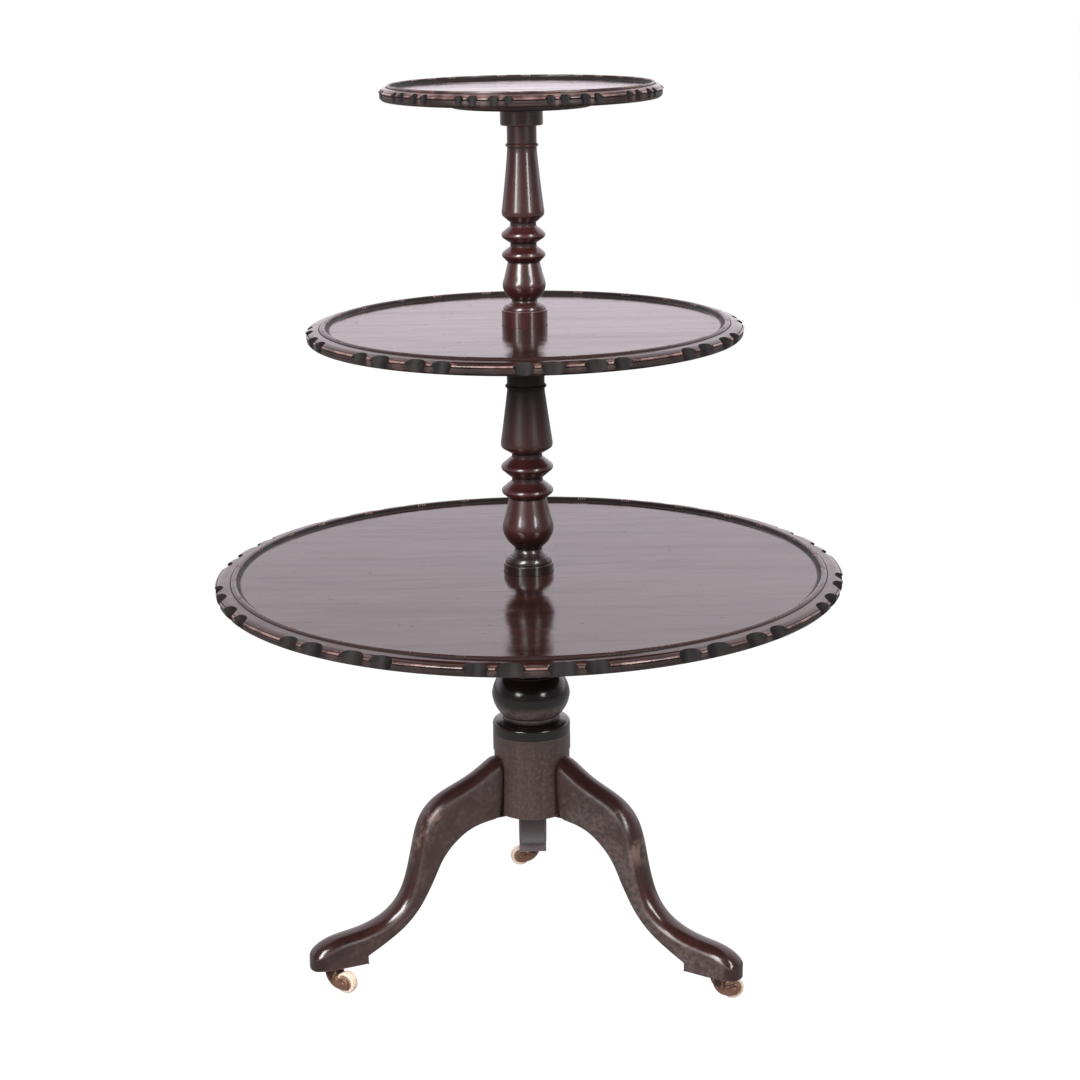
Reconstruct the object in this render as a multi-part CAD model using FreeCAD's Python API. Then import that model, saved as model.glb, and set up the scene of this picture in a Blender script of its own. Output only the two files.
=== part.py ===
import FreeCAD, Part
import math
import os

# Three-tier dumbwaiter table: piecrust trays that revolve on a turned column, three
# cabriole legs housed in the column's foot, and a small castor under each leg.
#
# Millimetres.  The origin is on the floor under the column's axis, +Z is up and -Y is
# the front.  Angles round the column are measured from the front towards +X.

os.makedirs("parts", exist_ok=True)

V = FreeCAD.Vector
UP = V(0, 0, 1)
ORIGIN = V(0, 0, 0)

# ---- overall sizes ------------------------------------------------------------------
LOWER_TIER_Z = 420.0      # flat surface of the lower tray
MIDDLE_TIER_RISE = 255.0  # from each tray's surface to the next
UPPER_TIER_RISE = 234.5
LOWER_TIER_R = 321.0      # outermost radius of each tray
MIDDLE_TIER_R = 219.0
UPPER_TIER_R = 139.0
STANCE_R = 228.0          # column axis to castor pivot
LEG_ANGLES = {"left": -65.0, "right": 55.0, "rear": 180.5}

# ---- fits ---------------------------------------------------------------------------
REST_GAP = 0.3            # between a turning piece and what it sits on
RUN_FIT = 0.05            # radial clearance of a turning fit
GLUE_GAP = 0.1            # all round a tongue, tenon or dowel
CLEAR_FIT = 0.6           # radial clearance of a hole that only has to pass

# ---- trays --------------------------------------------------------------------------
BOARD_T = 11.0            # under the flat surface
LIP_H = 4.4               # raised moulding round the flat surface
LIP_W = 4.0
EDGE_DROP = 0.5           # outer edge of the ledge, below the flat surface
EDGE_FACE = 8.0           # upright part of the edge
UNDERCUT = 8.0            # how far the edge is rounded in underneath
HOLLOWS_AT = (-0.57, -0.26, 0.26, 0.57)   # in each repeat, as shares of half of it
GOUGE_R = 0.135           # radius of the hollows, as a share of half a repeat's length
HOLLOW_TOP = 0.070        # their depth at the ledge, likewise
HOLLOW_LOW = 0.022        # and at the bottom of the edge
SEAT_DEPTH = 0.6          # recess in the surface for the foot of the column
SEAT_CLEAR = 0.5          # radial

# ---- bearers under the trays --------------------------------------------------------
LOWER_BEARER_T = 12.0
MIDDLE_BEARER_T = 10.0
UPPER_BEARER_T = 8.0
BEARER_EDGE_ROUND = 2.5
BEARER_SCREW_COUNT = 4
BEARER_SCREW_AT = 0.72    # share of the bearer's radius

# ---- column -------------------------------------------------------------------------
SPINDLE_R = 9.5           # spindle that a tray turns on
SPINDLE_DEPTH = 34.0      # how far it goes into the piece below
TOP_SPINDLE_R = 8.5
TOP_SPINDLE_H = 13.0
COLLAR_EDGE = 1.0

# Radii, and heights as shares of the section between two trays.
LOWER_BALUSTER = {
    "block": (25.5, 0.043), "ovolo": (21.0, 0.074), "cove": (13.9, 0.106), "vase": (26.2, 0.196),
    "waist": (19.0, 0.329), "ring_1": (25.6, 0.367), "groove_1": (15.1, 0.419),
    "ring_2": (26.6, 0.470), "groove_2": (15.4, 0.526), "shoulder": (26.4, 0.577),
    "neck": (17.9, 0.809), "collar": (24.0, 0.924)}
UPPER_BALUSTER = {
    "block": (22.8, 0.078), "ovolo": (17.9, 0.102), "cove": (12.5, 0.120), "vase": (21.5, 0.191),
    "waist": (16.2, 0.284), "ring_1": (21.4, 0.331), "groove_1": (12.5, 0.378),
    "ring_2": (21.8, 0.425), "groove_2": (12.7, 0.472), "shoulder": (21.3, 0.540),
    "neck": (14.7, 0.809), "collar": (21.0, 0.924)}

# ---- pedestal -----------------------------------------------------------------------
BLOCK_R = 39.6
BLOCK_BOTTOM_Z = 160.0
BLOCK_COLLAR_R = BLOCK_R + 0.9
BLOCK_COLLAR_Z = 227.5    # underside of the collar, where the legs stop
BLOCK_TOP_Z = 247.0
BLOCK_EDGE_ROUND = 2.5
TENON_R = 15.0
TENON_DEPTH = 42.0

# ---- legs ---------------------------------------------------------------------------
LEG_T = 31.0
CROWN = 8.5               # rise of the rounded back above its arris
TONGUE_DEPTH = 15.0
TONGUE_NECK = 13.0
TONGUE_END = 20.0
TONGUE_STOP = 8.0         # plain wood left above each tongue
PAD_STEP = 8.5            # sole of the foot below the arch behind it
PAD_LEN = 33.0            # heel of the sole to the castor pivot
TOE_LEN = 22.0            # castor pivot to the tip of the toe

# ---- brace under the block ----------------------------------------------------------
BRACE_T = 2.0
BRACE_HUB_R = 22.0
BRACE_ARM_W = 14.0
BRACE_ARM_R = 60.0
BRACE_SCREW_AT = (47.0, 57.0)
BRACE_SCREW_L = 15.0
BRACE_SCREW_R = 1.8
BRACE_SCREW_HEAD_R = 3.4

# ---- castors ------------------------------------------------------------------------
WHEEL_R = 11.5
WHEEL_W = 9.0
AXLE_R = 1.55
TRAIL = WHEEL_R + 3.5     # castor pivot to wheel axle, clear of the pivot's head
HEADINGS = {"left": 57.0, "right": 98.0, "rear": -76.0}   # where each wheel trails
WHEEL_HEADROOM = 0.8
SIDE_GAP = 0.5            # wheel to horn
HORN_T = 3.0
BOSS_R = 6.2
CROWN_T = 2.5             # bridge over the wheel
HUB_R = 4.4
HUB_H = 3.0               # hub below the bridge
PIVOT_R = 2.2
PIVOT_HEAD_R = 3.4
PIVOT_HEAD_H = 1.4
PIVOT_IN_LEG = 16.0
PLATE_R = 12.0
PLATE_T = 2.5
PLATE_PROUD = 1.0         # plate left showing below the sole
PLATE_SCREW_COUNT = 3
PLATE_SCREW_AT = 8.25
PLATE_SCREW_L = 12.0
PLATE_SCREW_R = 1.2
PLATE_SCREW_HEAD_R = 2.4

# ---- heights that follow ------------------------------------------------------------
MIDDLE_TIER_Z = LOWER_TIER_Z + MIDDLE_TIER_RISE
UPPER_TIER_Z = MIDDLE_TIER_Z + UPPER_TIER_RISE
BRIDGE_LOW = 2 * WHEEL_R + WHEEL_HEADROOM
BRIDGE_TOP = BRIDGE_LOW + CROWN_T
HUB_LOW = BRIDGE_LOW - HUB_H
PLATE_LOW = BRIDGE_TOP + REST_GAP
SOLE_Z = PLATE_LOW + PLATE_PROUD
ARCH_Z = SOLE_Z + PAD_STEP
BRACE_LOW = BLOCK_BOTTOM_Z - BRACE_T
TOE_R = STANCE_R + TOE_LEN
CHEEK_IN = WHEEL_W / 2 + SIDE_GAP
CHEEK_OUT = CHEEK_IN + HORN_T
PAST = 1.0                # how far a cutter runs past the face it opens


# ---- helpers ------------------------------------------------------------------------
def polar(radius, degrees, z=0.0):
    """A point at an angle from the front (-Y) towards +X."""
    angle = math.radians(degrees)
    return V(radius * math.sin(angle), -radius * math.cos(angle), z)


def cylinder(radius, z_low, z_high, at=ORIGIN):
    return Part.makeCylinder(radius, z_high - z_low, V(at.x, at.y, z_low), UP)


def turned(shape, degrees):
    shape.rotate(ORIGIN, UP, degrees)
    return shape


def bowed(start, end, bow, facing):
    """Edge that bows out to its right by a sagitta, seen with the facing vector towards the eye."""
    if abs(bow) < 1e-6:
        return Part.makeLine(start, end)
    right = end.sub(start).cross(facing).normalize()
    middle = start.add(end).multiply(0.5).add(right.multiply(bow))
    return Part.Arc(start, middle, end).toShape()


class Turning:
    """Outline of a turned piece in the XZ plane, drawn from the bottom up."""

    def __init__(self, radius, z):
        self.first = V(0, 0, z)
        self.at = self.first
        self.edges = []
        self.to(radius, z)

    def to(self, radius, z, bow=0.0):
        """Straight, or bowed outwards (+) or inwards (-) by a sagitta."""
        end = V(radius, 0, z)
        self.edges.append(bowed(self.at, end, bow, V(0, -1, 0)))
        self.at = end

    def sweep(self, *points):
        """One smooth curve through the points."""
        curve = Part.BSplineCurve()
        curve.interpolate([self.at] + [V(r, 0, z) for r, z in points])
        self.edges.append(curve.toShape())
        self.at = V(points[-1][0], 0, points[-1][1])

    def ring(self, radius, z, groove_r, groove_z):
        """A ring with hollow flanks and a rounded nose, ending in the groove above it."""
        nose = (groove_z - z) * 0.15
        hollow = -(radius - groove_r) * 0.09
        self.to(radius - nose / 2, z - nose, hollow)
        self.to(radius - nose / 2, z + nose, nose / 2)
        self.to(groove_r, groove_z, hollow)

    def solid(self):
        self.to(0, self.at.z)
        self.edges.append(Part.makeLine(self.at, self.first))
        return Part.Face(Part.Wire(self.edges)).revolve(ORIGIN, UP, 360)


def flush_screw(at, length, shank_r, head_r):
    """A wood screw driven upwards, with its flat head flush at the point."""
    head_h = head_r - shank_r
    shank = cylinder(shank_r, at.z + head_h, at.z + length, at)
    return Part.makeCone(head_r, shank_r, head_h, at, UP).fuse(shank).removeSplitter()


def drilled(shape, tools):
    for tool in tools:
        shape = shape.cut(tool)
    return shape


def export(shape, node):
    shape.exportStep("parts/" + node + ".step")


# ---- trays and their bearers --------------------------------------------------------
def gouge(degrees, radius, half_length, z_low, z_high):
    """Leaning cylinder that cuts one hollow in a tray's edge, deepest at the top."""
    gouge_r = GOUGE_R * half_length
    low = polar(radius + gouge_r - HOLLOW_LOW * half_length, degrees, z_low)
    high = polar(radius + gouge_r - HOLLOW_TOP * half_length, degrees, z_high)
    lean = high.sub(low)
    return Part.makeCylinder(gouge_r, 3 * lean.Length, low.sub(lean), lean)


def piecrust(radius, repeats, phase, z_low, z_high):
    """All the hollows round a tray, in groups with plain stretches between them."""
    half_angle = 180.0 / repeats
    half_length = math.pi * radius / repeats
    angles = [phase + (2 * number + at) * half_angle for number in range(repeats) for at in HOLLOWS_AT]
    return [gouge(angle, radius, half_length, z_low, z_high) for angle in angles]


def tray(surface_z, radius, rim_w, repeats, phase, hole_r, hole_depth, seat_r):
    """Dished board with a lip, a sloping ledge and a carved edge, rounded in underneath."""
    under = surface_z - BOARD_T
    edge_high = surface_z - EDGE_DROP
    edge_low = edge_high - EDGE_FACE
    lip_top = surface_z + LIP_H
    dish_r = radius - rim_w
    outline = Turning(radius - UNDERCUT, under)
    outline.to(radius, edge_low, 1.2)
    outline.to(radius, edge_high)
    outline.to(dish_r + LIP_W, lip_top - LIP_H / 4, -0.8)
    outline.to(dish_r + LIP_W / 2, lip_top, 0.4)
    outline.to(dish_r, surface_z, -0.5)
    board = outline.solid().cut(cylinder(hole_r, under - PAST, under + hole_depth))
    if seat_r:
        board = board.cut(cylinder(seat_r + SEAT_CLEAR, surface_z - SEAT_DEPTH, surface_z + PAST))
    return board.cut(piecrust(radius, repeats, phase, edge_low, edge_high))


def bearer(surface_z, radius, thickness, hole_r):
    """Disc screwed under the tray, with the hole that turns on the spindle."""
    top = surface_z - BOARD_T
    low = top - thickness
    outline = Turning(radius - BEARER_EDGE_ROUND, low)
    outline.to(radius, low + BEARER_EDGE_ROUND, BEARER_EDGE_ROUND * 0.29)
    outline.to(radius, top)
    return outline.solid().cut(cylinder(hole_r, low - PAST, top + PAST))


def bearer_screws(surface_z, radius, thickness):
    """Screws up through the bearer, half way into the board."""
    low = surface_z - BOARD_T - thickness
    step = 360.0 / BEARER_SCREW_COUNT
    places = [polar(radius * BEARER_SCREW_AT, step * (i + 0.5), low) for i in range(BEARER_SCREW_COUNT)]
    return [flush_screw(place, thickness + BOARD_T / 2, 1.8, 3.6) for place in places]


def build_tier(name, surface_z, tray_r, rim_w, repeats, phase, bearer_r, bearer_t, spindle_r, hole_depth,
               seat_r=None):
    """A tray and its bearer; seat_r is the foot of the column piece that stands on the tray."""
    screws = bearer_screws(surface_z, bearer_r, bearer_t)
    board = tray(surface_z, tray_r, rim_w, repeats, phase, spindle_r + CLEAR_FIT, hole_depth, seat_r)
    disc = bearer(surface_z, bearer_r, bearer_t, spindle_r + RUN_FIT)
    export(drilled(board, screws), name + "_tray")
    export(drilled(disc, screws), name + "_bearer")
    export(Part.makeCompound(screws), name + "_bearer_screws")


# ---- column -------------------------------------------------------------------------
def rest_z(surface_z, bearer_t):
    """Top of the column piece that carries a tray."""
    return surface_z - BOARD_T - bearer_t - REST_GAP


def baluster(base_z, top_z, sizes):
    """A turned section: foot, cove, vase, two rings, tapered barrel, neck and collar."""
    at = {name: (radius, base_z + share * (top_z - base_z)) for name, (radius, share) in sizes.items()}
    block_r, block_z = at["block"]
    ovolo_r, ovolo_z = at["ovolo"]
    cove_r, cove_z = at["cove"]
    vase_r, vase_z = at["vase"]
    shoulder_r, shoulder_z = at["shoulder"]
    neck_r, neck_z = at["neck"]
    collar_r, collar_z = at["collar"]
    shape = Turning(block_r, base_z)
    shape.to(block_r, block_z)
    shape.to(block_r - 1.8, block_z)
    shape.to(ovolo_r, ovolo_z, 0.9)
    shape.to(ovolo_r - 2.0, ovolo_z)
    shape.sweep((cove_r, cove_z), ((cove_r + vase_r) / 2 + 1.5, (cove_z + vase_z) / 2 - 1.5), at["vase"],
                ((vase_r + at["waist"][0]) / 2, (vase_z + at["waist"][1]) / 2), at["waist"])
    shape.ring(*at["ring_1"], *at["groove_1"])
    shape.ring(*at["ring_2"], *at["groove_2"])
    shape.to(shoulder_r - 1.0, shoulder_z - 4.0, 0.6)
    shape.to(shoulder_r - 0.6, shoulder_z + 3.5, 0.8)
    shape.to(neck_r, neck_z, -0.5)
    shape.ring(neck_r + 2.2, neck_z + 6.0, neck_r + 0.4, neck_z + 9.0)
    shape.to(neck_r, collar_z)
    shape.to(collar_r - COLLAR_EDGE, collar_z)
    shape.to(collar_r, collar_z + COLLAR_EDGE, 0.2)
    shape.to(collar_r, top_z)
    return shape.solid()


def socketed(body, top_z):
    """Bore the socket for the spindle of the piece above."""
    return body.cut(cylinder(SPINDLE_R + GLUE_GAP, top_z - SPINDLE_DEPTH - PAST, top_z + PAST))


def pedestal_turning(top_z):
    """Ball turning between the pedestal block and the lower tray, with a tenon below."""
    foot = BLOCK_TOP_Z + GLUE_GAP
    ball = foot + 41.0
    rise = top_z - ball
    shape = Turning(BLOCK_COLLAR_R, foot)
    shape.to(BLOCK_COLLAR_R, foot + 8.5)
    shape.to(36.8, foot + 12.5, 1.0)
    shape.to(29.8, foot + 14.0)
    shape.to(29.8, foot + 19.0)
    shape.to(40.8, ball, 2.1)
    shape.to(30.0, foot + 64.0, 2.3)
    shape.to(26.5, foot + 64.0)
    shape.to(22.5, ball + rise * 0.40, -0.8)
    shape.to(26.5, ball + rise * 0.78, -0.8)
    shape.ring(30.5, ball + rise * 0.84, 26.0, ball + rise * 0.90)
    shape.to(33.0 - COLLAR_EDGE, ball + rise * 0.90)
    shape.to(33.0, ball + rise * 0.90 + COLLAR_EDGE, 0.2)
    shape.to(33.0, top_z)
    body = shape.solid().fuse(cylinder(TENON_R, foot - TENON_DEPTH, foot))
    return socketed(body, top_z).removeSplitter()


def seated(surface_z):
    """Foot of the column piece that stands in a tray's recess."""
    return surface_z - SEAT_DEPTH + REST_GAP


def lower_column(seat_z, top_z):
    base_z = seated(LOWER_TIER_Z)
    body = baluster(base_z, top_z, LOWER_BALUSTER).fuse(cylinder(SPINDLE_R, seat_z - SPINDLE_DEPTH, base_z))
    return socketed(body, top_z).removeSplitter()


def upper_column(seat_z, top_z):
    base_z = seated(MIDDLE_TIER_Z)
    body = baluster(base_z, top_z, UPPER_BALUSTER).fuse(cylinder(SPINDLE_R, seat_z - SPINDLE_DEPTH, base_z))
    return body.fuse(cylinder(TOP_SPINDLE_R, top_z, top_z + TOP_SPINDLE_H)).removeSplitter()


# ---- pedestal block and legs --------------------------------------------------------
def dovetail(grow):
    """Tongue on the end of a leg that points to -Y, or the housing for it."""
    face = -(BLOCK_R + PAST)
    end = -(BLOCK_R - TONGUE_DEPTH - grow)
    neck_half = TONGUE_NECK / 2 + grow
    end_half = TONGUE_END / 2 + grow
    plan = [V(-neck_half, face, 0), V(neck_half, face, 0), V(end_half, end, 0), V(-end_half, end, 0)]
    prism = Part.Face(Part.makePolygon(plan + plan[:1]))
    prism.translate(V(0, 0, BLOCK_BOTTOM_Z))
    return prism.extrude(V(0, 0, BLOCK_COLLAR_Z - TONGUE_STOP + grow - BLOCK_BOTTOM_Z))


def pedestal_block():
    shape = Turning(BLOCK_R - BLOCK_EDGE_ROUND, BLOCK_BOTTOM_Z)
    shape.to(BLOCK_R, BLOCK_BOTTOM_Z + BLOCK_EDGE_ROUND, BLOCK_EDGE_ROUND * 0.29)
    shape.to(BLOCK_R, BLOCK_COLLAR_Z)
    shape.to(BLOCK_COLLAR_R, BLOCK_COLLAR_Z)
    shape.to(BLOCK_COLLAR_R, BLOCK_TOP_Z)
    housings = [turned(dovetail(GLUE_GAP), degrees) for degrees in LEG_ANGLES.values()]
    socket = cylinder(TENON_R + GLUE_GAP, BLOCK_TOP_Z - TENON_DEPTH - PAST, BLOCK_TOP_Z + PAST)
    return drilled(shape.solid(), housings + [socket])


# Back and underside of a cabriole leg, pair by pair from the block to the toe.  Radii are
# shares of the way from the block to the toe, and heights are shares of the way from the
# arch behind the foot to the underside of the block's collar.
CABRIOLE = (
    ((-0.02, 1.000), (-0.02, 0.647)), ((0.06, 0.948), (0.07, 0.645)), ((0.14, 0.888), (0.16, 0.628)),
    ((0.24, 0.852), (0.225, 0.592)), ((0.33, 0.810), (0.28, 0.542)), ((0.405, 0.735), (0.324, 0.487)),
    ((0.443, 0.635), (0.352, 0.435)), ((0.470, 0.510), (0.380, 0.370)), ((0.500, 0.385), (0.413, 0.305)),
    ((0.540, 0.275), (0.462, 0.215)), ((0.615, 0.190), (0.540, 0.125)), ((0.725, 0.142), (0.645, 0.058)),
    ((0.840, 0.118), (0.765, 0.005)), ((0.925, 0.090), (0.880, -0.010)), ((0.975, 0.045), (0.955, -0.025)),
    ((1.000, -0.010), (0.997, -0.040)))


def cabriole_section(back, under):
    """Flat underside and sides, and a back that rises from two arrises to a crown."""
    down = under.sub(back)
    arris = back.add(V(down).normalize().multiply(min(CROWN, down.Length * 0.45)))
    side = V(0, LEG_T / 2, 0)
    low_right, low_left = under.sub(side), under.add(side)
    high_left, high_right = arris.add(side), arris.sub(side)
    edges = [Part.makeLine(low_right, low_left), Part.makeLine(low_left, high_left),
             Part.Arc(high_left, back, high_right).toShape(), Part.makeLine(high_right, low_right)]
    return Part.Wire(edges)


def leg_plan():
    """Upright prism over the leg, with the half-round end of its toe."""
    half = LEG_T / 2
    centre = TOE_R - half
    corners = [V(centre, half, 0), V(0, half, 0), V(0, -half, 0), V(centre, -half, 0)]
    edges = [Part.makeLine(start, end) for start, end in zip(corners, corners[1:])]
    edges.append(Part.Arc(corners[-1], V(TOE_R, 0, 0), corners[0]).toShape())
    return Part.Face(Part.Wire(edges)).extrude(V(0, 0, BLOCK_TOP_Z))


def brace_arm(grow):
    """One arm of the brace, pointing to -Y."""
    half = BRACE_ARM_W / 2 + grow
    bar = Part.makeBox(2 * half, BRACE_ARM_R, BRACE_T, V(-half, -BRACE_ARM_R, BRACE_LOW))
    return bar.fuse(cylinder(half, BRACE_LOW, BLOCK_BOTTOM_Z, V(0, -BRACE_ARM_R, 0)))


def leg(degrees, fixings):
    """Lofted along +X, fitted to the block, then turned to its place and drilled."""
    reach = TOE_R - BLOCK_R
    rise = BLOCK_COLLAR_Z - ARCH_Z
    pairs = [[V(BLOCK_R + r * reach, 0, ARCH_Z + z * rise) for r, z in pair] for pair in CABRIOLE]
    body = Part.makeLoft([cabriole_section(*pair) for pair in pairs], True, False)
    heel = STANCE_R - PAD_LEN
    pad = Part.makeBox(TOE_R - heel, LEG_T, PAD_STEP + PAST, V(heel, -LEG_T / 2, SOLE_Z))
    body = body.fuse(pad).common(leg_plan())
    body = body.cut(cylinder(BLOCK_R + GLUE_GAP, BRACE_LOW - PAST, BLOCK_TOP_Z))
    body = turned(body, -90).fuse(dovetail(0))
    body = body.cut(brace_arm(GLUE_GAP))
    return drilled(turned(body, degrees), fixings).removeSplitter()


# ---- brace --------------------------------------------------------------------------
def brace_screws(degrees):
    places = [polar(radius, degrees, BRACE_LOW) for radius in BRACE_SCREW_AT]
    return [flush_screw(place, BRACE_SCREW_L, BRACE_SCREW_R, BRACE_SCREW_HEAD_R) for place in places]


def brace():
    plate = cylinder(BRACE_HUB_R, BRACE_LOW, BLOCK_BOTTOM_Z)
    for degrees in LEG_ANGLES.values():
        plate = plate.fuse(turned(brace_arm(0), degrees))
    return plate.removeSplitter()


# ---- castors, built on the origin with the wheel trailing to +X ---------------------
def castor_plate():
    plate = cylinder(PLATE_R, PLATE_LOW, PLATE_LOW + PLATE_T)
    return plate.cut(cylinder(PIVOT_R, PLATE_LOW - PAST, PLATE_LOW + PLATE_T + PAST))


def castor_pivot():
    """Pin fixed in the plate and the leg, with the head that holds the swivel up."""
    head_top = HUB_LOW - REST_GAP
    pin = cylinder(PIVOT_R, head_top - PIVOT_HEAD_H, PLATE_LOW + PIVOT_IN_LEG)
    return pin.fuse(cylinder(PIVOT_HEAD_R, head_top - PIVOT_HEAD_H, head_top)).removeSplitter()


def plate_screws():
    step = 360.0 / PLATE_SCREW_COUNT
    places = [polar(PLATE_SCREW_AT, step * i, PLATE_LOW) for i in range(PLATE_SCREW_COUNT)]
    return [flush_screw(place, PLATE_SCREW_L, PLATE_SCREW_R, PLATE_SCREW_HEAD_R) for place in places]


def castor_axle():
    start = V(TRAIL, -CHEEK_OUT, WHEEL_R)
    return Part.makeCylinder(AXLE_R, 2 * CHEEK_OUT, start, V(0, 1, 0))


def castor_horns():
    """Swivel: a hub, a bridge over the wheel and two curved horns down to the axle."""
    back = -(HUB_R + 3.6)
    front = HUB_R + 2.0
    chin = V(TRAIL - BOSS_R * 0.6, 0, WHEEL_R - BOSS_R * 0.8)
    brow = V(TRAIL - BOSS_R * 0.2, 0, WHEEL_R + BOSS_R * 0.98)
    low_middle = V(-2.0, 0, WHEEL_R + 0.5)
    edges = [Part.Arc(V(back, 0, BRIDGE_TOP), low_middle, chin).toShape(), Part.makeLine(chin, brow),
             Part.Arc(brow, V(front + 2.0, 0, BRIDGE_LOW - 3.0), V(front, 0, BRIDGE_TOP)).toShape(),
             Part.makeLine(V(front, 0, BRIDGE_TOP), V(back, 0, BRIDGE_TOP))]
    cheek = Part.Face(Part.Wire(edges)).extrude(V(0, HORN_T, 0))
    cheek = cheek.fuse(Part.makeCylinder(BOSS_R, HORN_T, V(TRAIL, 0, WHEEL_R), V(0, 1, 0)))
    swivel = cylinder(HUB_R, HUB_LOW, BRIDGE_TOP)
    swivel = swivel.fuse(Part.makeBox(front - back, 2 * CHEEK_OUT, CROWN_T, V(back, -CHEEK_OUT, BRIDGE_LOW)))
    for y in (CHEEK_IN, -CHEEK_OUT):
        horn = cheek.copy()
        horn.translate(V(0, y, 0))
        swivel = swivel.fuse(horn)
    bore = cylinder(PIVOT_R + RUN_FIT, HUB_LOW - PAST, BRIDGE_TOP + PAST)
    return swivel.cut(bore).cut(castor_axle()).removeSplitter()


def castor_wheel():
    """Slightly barrelled tread with rounded shoulders and a plain bore."""
    half = WHEEL_W / 2
    shoulder = 2.0
    shape = Turning(WHEEL_R - shoulder, -half)
    shape.to(WHEEL_R - 0.2, shoulder - half, shoulder * 0.29)
    shape.to(WHEEL_R - 0.2, half - shoulder, 0.2)
    shape.to(WHEEL_R - shoulder, half, shoulder * 0.29)
    wheel = shape.solid().cut(cylinder(AXLE_R + RUN_FIT, -half - PAST, half + PAST))
    wheel.rotate(ORIGIN, V(1, 0, 0), 90)
    wheel.translate(V(TRAIL, 0, WHEEL_R))
    return wheel


def placed(shape, side, facing):
    """Turn a castor piece on its pivot, and move it under its leg."""
    turned(shape, facing).translate(polar(STANCE_R, LEG_ANGLES[side]))
    return shape


def build_leg(side):
    """One leg and its castor; returns the screws that go into shared nodes."""
    degrees = LEG_ANGLES[side]
    arm_screws = brace_screws(degrees)
    foot_screws = [placed(screw, side, degrees) for screw in plate_screws()]
    plate = drilled(placed(castor_plate(), side, degrees), foot_screws)
    pivot = placed(castor_pivot(), side, degrees)
    recess = placed(cylinder(PLATE_R, SOLE_Z - PAST, PLATE_LOW + PLATE_T), side, degrees)
    export(leg(degrees, arm_screws + foot_screws + [recess, pivot]), "leg_" + side)
    export(plate, "castor_plate_" + side)
    export(pivot, "castor_pivot_" + side)
    swivel = HEADINGS[side] - 90.0
    export(placed(castor_horns(), side, swivel), "castor_horns_" + side)
    export(placed(castor_axle(), side, swivel), "castor_axle_" + side)
    export(placed(castor_wheel(), side, swivel), "castor_wheel_" + side)
    return arm_screws, foot_screws


# ---- the whole table ----------------------------------------------------------------
lower_rest = rest_z(LOWER_TIER_Z, LOWER_BEARER_T)
middle_rest = rest_z(MIDDLE_TIER_Z, MIDDLE_BEARER_T)
upper_rest = rest_z(UPPER_TIER_Z, UPPER_BEARER_T)

build_tier("lower", LOWER_TIER_Z, LOWER_TIER_R, rim_w=22.5, repeats=10, phase=1.3, bearer_r=110.0,
           bearer_t=LOWER_BEARER_T, spindle_r=SPINDLE_R, hole_depth=BOARD_T + PAST,
           seat_r=LOWER_BALUSTER["block"][0])
build_tier("middle", MIDDLE_TIER_Z, MIDDLE_TIER_R, rim_w=20.0, repeats=8, phase=12.3, bearer_r=90.0,
           bearer_t=MIDDLE_BEARER_T, spindle_r=SPINDLE_R, hole_depth=BOARD_T + PAST,
           seat_r=UPPER_BALUSTER["block"][0])
build_tier("upper", UPPER_TIER_Z, UPPER_TIER_R, rim_w=11.5, repeats=10, phase=21.5, bearer_r=70.0,
           bearer_t=UPPER_BEARER_T, spindle_r=TOP_SPINDLE_R, hole_depth=TOP_SPINDLE_H - UPPER_BEARER_T + PAST)

export(upper_column(middle_rest, upper_rest), "upper_column")
export(lower_column(lower_rest, middle_rest), "lower_column")
export(pedestal_turning(lower_rest), "pedestal_turning")
export(pedestal_block(), "pedestal_block")

brace_screw_set = []
plate_screw_set = []
for side in LEG_ANGLES:
    arm_screws, foot_screws = build_leg(side)
    brace_screw_set += arm_screws
    plate_screw_set += foot_screws
export(drilled(brace(), brace_screw_set), "brace_plate")
export(Part.makeCompound(brace_screw_set), "brace_screws")
export(Part.makeCompound(plate_screw_set), "castor_plate_screws")
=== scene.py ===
import math

import bpy
import numpy as np
from mathutils import Matrix, Vector


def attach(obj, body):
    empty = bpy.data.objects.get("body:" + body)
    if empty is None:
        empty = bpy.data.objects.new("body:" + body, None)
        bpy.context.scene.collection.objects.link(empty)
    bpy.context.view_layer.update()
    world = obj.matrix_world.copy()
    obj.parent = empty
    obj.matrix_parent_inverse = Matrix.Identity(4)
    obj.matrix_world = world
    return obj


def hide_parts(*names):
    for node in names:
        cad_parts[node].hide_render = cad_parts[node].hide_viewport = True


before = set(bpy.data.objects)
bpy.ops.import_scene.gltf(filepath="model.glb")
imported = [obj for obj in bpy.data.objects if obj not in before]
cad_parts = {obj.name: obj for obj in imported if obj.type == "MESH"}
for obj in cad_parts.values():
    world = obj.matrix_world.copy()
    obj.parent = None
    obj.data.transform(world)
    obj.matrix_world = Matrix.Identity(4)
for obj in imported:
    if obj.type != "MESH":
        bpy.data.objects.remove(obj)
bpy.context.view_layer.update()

# Three-tier dumbwaiter in dark mahogany.  Sizes are millimetres, and mm() turns them into
# metres.  Angles round the column are degrees, measured from the front (-Y) towards +X.

scene = bpy.context.scene
ops, edit = bpy.ops.mesh, bpy.ops.object.mode_set

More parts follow.
